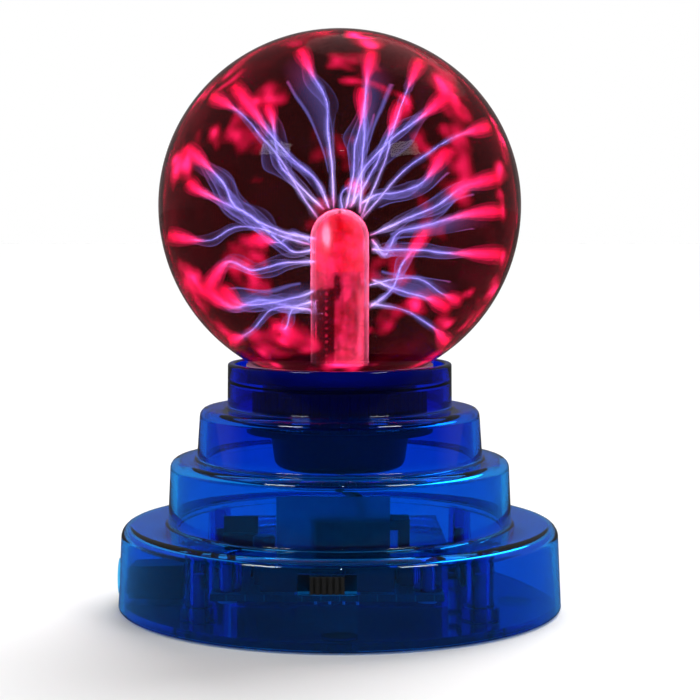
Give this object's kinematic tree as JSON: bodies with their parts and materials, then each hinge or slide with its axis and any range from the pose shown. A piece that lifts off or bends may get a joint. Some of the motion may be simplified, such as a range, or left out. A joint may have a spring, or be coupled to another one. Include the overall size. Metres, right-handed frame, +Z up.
{
  "type": "plasma ball",
  "caption": "Desk plasma ball: a gas-filled glass globe with a glass electrode stem on a stepped see-through blue casing with a slide switch.",
  "frame": {"origin": "centre of the underside, on the plane of the rubber feet", "axes": "+Z up along the globe's axis; the front, with the slide switch, faces -Y"},
  "size_m": [0.1112, 0.1112, 0.1439],
  "materials": {
    "casing_blue": "clear blue, polished",
    "plate_blue": "clear blue, polished",
    "rubber_black": "matte",
    "steel": "zinc plated",
    "cell_wrap": "printed sleeve without print",
    "spring_steel": "bright",
    "board_green": "solder mask",
    "black_plastic": "satin",
    "switch_shell": "tinned",
    "solder": "bright",
    "card_teal": "see-through board",
    "ferrite": "dark, matte",
    "copper": "enamelled copper",
    "bobbin": "satin",
    "cap_sleeve": "shrunk sleeve",
    "chip_black": "matte",
    "resistor_body": "lacquered",
    "lead_red": "insulation",
    "lead_black": "insulation",
    "globe_glass": "clear, thin",
    "stem_glass": "clear, lit from inside",
    "mesh_metal": "perforated",
    "wool": "fine wool",
    "gasket_beige": "soft"
  },
  "bodies": {
    "base": {"base_shell": "casing_blue", "base_plate": "plate_blue", "rubber_feet": "rubber_black", "base_screws": "steel", "battery_cell_1": "cell_wrap", "battery_cell_2": "cell_wrap", "battery_cell_3": "cell_wrap", "battery_cell_4": "cell_wrap", "battery_contacts": "solder", "battery_springs": "spring_steel", "main_board": "board_green", "board_screws": "steel", "switch_body": "switch_shell", "switch_pins": "solder", "driver_card": "card_teal", "transformer_core": "ferrite", "transformer_bobbin": "bobbin", "transformer_winding": "copper", "capacitor_tall": "cap_sleeve", "capacitor_wide": "cap_sleeve", "driver_chip": "chip_black", "power_transistor": "chip_black", "resistors": "resistor_body", "power_jack": "black_plastic", "jack_pin": "solder", "power_leads": "lead_black", "battery_leads": "lead_red", "high_voltage_lead": "lead_black", "glass_globe": "globe_glass", "electrode_tube": "stem_glass", "electrode_mesh": "mesh_metal", "electrode_wool": "wool", "electrode_rod": "solder", "globe_gasket": "gasket_beige", "globe_cap": "black_plastic", "globe_cup": "black_plastic"},
    "switch_slider": {"switch_slider": "black_plastic"},
    "battery_door": {"battery_door": "plate_blue"}
  },
  "joints": [
    {"name": "switch_slide", "type": "slide", "parent": "base", "child": "switch_slider", "axis": [1, 0, 0], "range_m": [-0.0025, 0.0025]},
    {"name": "battery_door_hinge", "type": "hinge", "parent": "base", "child": "battery_door", "pos_m": [-0.02325, 0.012, 0.0007], "axis": [0, 1, 0], "range_deg": [0, 60]}
  ]
}
